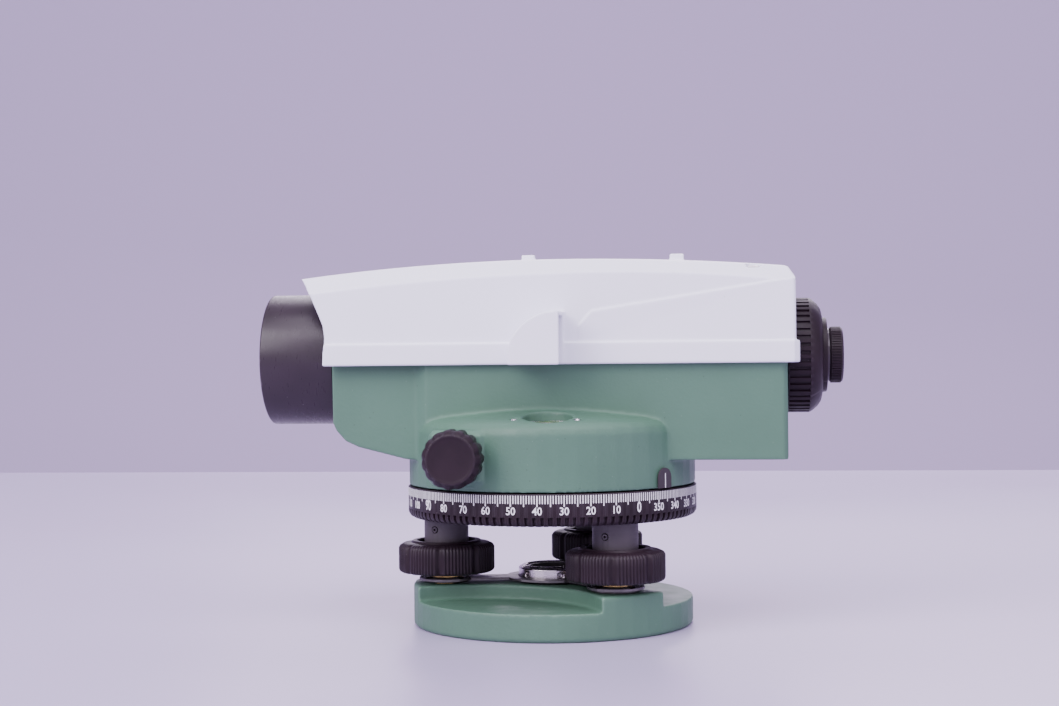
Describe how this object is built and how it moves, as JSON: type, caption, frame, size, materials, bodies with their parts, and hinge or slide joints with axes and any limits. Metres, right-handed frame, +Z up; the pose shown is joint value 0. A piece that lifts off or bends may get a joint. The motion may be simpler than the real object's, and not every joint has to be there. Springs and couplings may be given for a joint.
{
  "type": "automatic level",
  "caption": "Automatic level for surveying: telescope with a ribbed eyepiece and a white cover on a graduated circle and a three-screw base.",
  "frame": {"origin": "on the vertical axis, at the underside of the foot plate", "axes": "+X along the line of sight towards the eyepiece, -X to the objective, +Z up; the vial and its mirror are on the -Y side"},
  "size_m": [0.2102, 0.1252, 0.1352],
  "materials": {
    "green_paint": "sage green orange-peel paint on an aluminium casting",
    "white_plastic": "semi-gloss white moulded plastic",
    "black_plastic": "satin black moulded plastic",
    "black_metal": "black anodised",
    "steel": "turned and polished",
    "dark_steel": "blued steel",
    "brass": "turned",
    "glass": "coated optical glass",
    "mirror": "silvered"
  },
  "bodies": {
    "base": {"foot_plate": "green_paint", "tripod_bush": "dark_steel", "clamp_ring_nut": "steel", "spring_plate": "dark_steel", "foot_seat_b": "dark_steel", "foot_seat_c": "dark_steel"},
    "rocker": {"foot_seat_a": "dark_steel"},
    "screw_a": {"foot_screw_a": "brass", "foot_knob_a": "black_plastic"},
    "screw_b": {"foot_screw_b": "brass", "foot_knob_b": "black_plastic"},
    "screw_c": {"foot_screw_c": "brass", "foot_knob_c": "black_plastic"},
    "tribrach": {"tribrach_plate": "black_metal", "foot_bush_a": "black_metal", "foot_bush_b": "black_metal", "foot_bush_c": "black_metal", "bush_pin_a": "black_metal", "bush_pin_b": "black_metal", "bush_pin_c": "black_metal", "spindle_sleeve": "steel"},
    "circle": {"horizontal_circle": "black_plastic"},
    "alidade": {"main_housing": "green_paint", "top_cover": "white_plastic", "cover_screw_left": "steel", "cover_screw_right": "steel", "objective_barrel": "black_metal", "objective_lens": "glass", "objective_ring": "black_metal", "eyepiece_collar": "black_plastic", "reticle_holder": "black_metal", "reticle_glass": "glass", "inner_spindle": "steel", "spindle_nut": "steel", "vial_cup": "steel", "vial_glass": "glass", "vial_screw_1": "steel", "vial_screw_2": "steel", "vial_mirror": "mirror", "index_plate": "black_plastic", "focus_bush": "brass", "focus_guide_tube": "brass", "compensator_frame": "black_metal", "fixed_prism_front": "glass", "fixed_prism_rear": "glass", "worm_bush_left": "brass", "worm_bush_right": "brass"},
    "pendulum": {"pendulum_arm": "black_metal", "pendulum_prism": "glass"},
    "focus_drive": {"focus_shaft": "steel", "focus_knob": "black_plastic"},
    "carriage": {"focus_carriage": "black_metal", "focus_lens": "glass"},
    "tangent_drive": {"worm_shaft": "steel", "tangent_knob_left": "black_plastic", "tangent_knob_right": "black_plastic"},
    "wheel": {"worm_wheel": "brass"},
    "eyepiece": {"eyepiece_tube": "black_metal", "eyepiece_lens": "glass"},
    "diopter": {"diopter_ring": "black_plastic"}
  },
  "joints": [
    {"name": "level_roll", "type": "hinge", "parent": "base", "child": "rocker", "pos_m": [-0.03867, -0.0064, 0.0142], "axis": [0.9866, 0.1633, 0], "range_deg": [-2.55, 2.55]},
    {"name": "foot_turn_a", "type": "hinge", "parent": "rocker", "child": "screw_a", "pos_m": [-0.03867, -0.0064, 0.0142], "axis": [0, 0, 1], "range_deg": [-1080, 1080]},
    {"name": "foot_turn_b", "type": "hinge", "parent": "base", "child": "screw_b", "pos_m": [0.02488, -0.03029, 0.0142], "axis": [0, 0, 1], "range_deg": [-720, 720]},
    {"name": "foot_turn_c", "type": "hinge", "parent": "base", "child": "screw_c", "pos_m": [0.01379, 0.03669, 0.0142], "axis": [0, 0, 1], "range_deg": [-720, 720]},
    {"name": "level_pitch", "type": "hinge", "parent": "rocker", "child": "tribrach", "pos_m": [0.01934, 0.0032, 0.0142], "axis": [-0.1633, 0.9866, 0], "range_deg": [-2.2, 2.2]},
    {"name": "circle_turn", "type": "hinge", "parent": "tribrach", "child": "circle", "pos_m": [0, 0, 0.0455], "axis": [0, 0, 1], "continuous": true},
    {"name": "alidade_turn", "type": "hinge", "parent": "tribrach", "child": "alidade", "pos_m": [0, 0, 0.056], "axis": [0, 0, 1], "continuous": true},
    {"name": "compensator_swing", "type": "hinge", "parent": "alidade", "child": "pendulum", "pos_m": [0.013, 0, 0.1125], "axis": [0, 1, 0], "range_deg": [-1, 1]},
    {"name": "focus_turn", "type": "hinge", "parent": "alidade", "child": "focus_drive", "pos_m": [-0.05, 0.045, 0.085], "axis": [0, 1, 0], "range_deg": [-143, 143]},
    {"name": "focus_travel", "type": "slide", "parent": "alidade", "child": "carriage", "axis": [1, 0, 0], "range_m": [-0.0075, 0.0075]},
    {"name": "tangent_turn", "type": "hinge", "parent": "alidade", "child": "tangent_drive", "pos_m": [-0.0286, 0, 0.0633], "axis": [0, 1, 0], "continuous": true},
    {"name": "wheel_turn", "type": "hinge", "parent": "alidade", "child": "wheel", "pos_m": [0, 0, 0.0633], "axis": [0, 0, 1], "continuous": true},
    {"name": "eyepiece_travel", "type": "slide", "parent": "alidade", "child": "eyepiece", "axis": [1, 0, 0], "range_m": [-0.00025, 0.002]},
    {"name": "diopter_turn", "type": "hinge", "parent": "eyepiece", "child": "diopter", "pos_m": [0.1038, 0, 0.0974], "axis": [1, 0, 0], "range_deg": [-31, 241]}
  ],
  "couplings": [
    {"joint": "foot_turn_c", "follows": "foot_turn_b", "ratio": -1},
    {"joint": "level_roll", "follows": "foot_turn_b", "ratio": 0.0035162},
    {"joint": "level_pitch", "follows": "foot_turn_a", "ratio": -0.00203},
    {"joint": "focus_travel", "follows": "focus_turn", "m_per_rad": 0.003},
    {"joint": "wheel_turn", "follows": "tangent_turn", "ratio": 0.025},
    {"joint": "diopter_turn", "follows": "eyepiece_travel", "rad_per_m": 2094.4}
  ]
}
